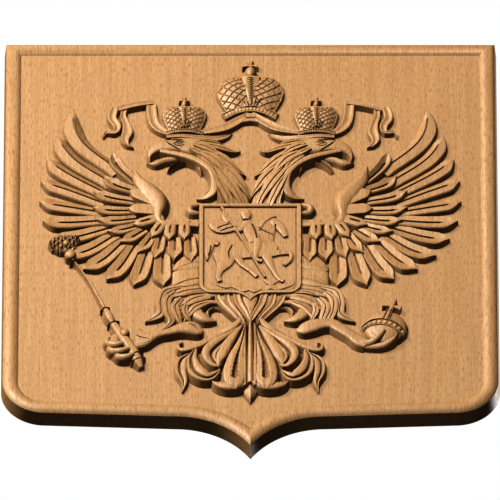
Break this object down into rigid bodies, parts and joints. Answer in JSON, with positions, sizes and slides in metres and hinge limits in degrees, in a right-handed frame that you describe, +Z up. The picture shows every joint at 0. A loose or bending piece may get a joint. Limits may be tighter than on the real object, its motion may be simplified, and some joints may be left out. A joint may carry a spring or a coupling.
{
  "type": "carved coat of arms",
  "caption": "Shield-shaped wooden wall plaque with a raised moulded rim and a double-headed eagle, crowns, sceptre and orb carved in relief.",
  "frame": {"origin": "middle of the flat back face, where it lies against the wall", "axes": "+Z up, +X to the right of someone looking at the front, the carved front faces -Y"},
  "size_m": [0.4, 0.0243, 0.45],
  "materials": {
    "beech": "semi-matt clear oil over a sanded surface, fine upright grain with short dark flecks"
  },
  "bodies": {
    "root": {"carved_plaque": "beech"}
  },
  "joints": []
}
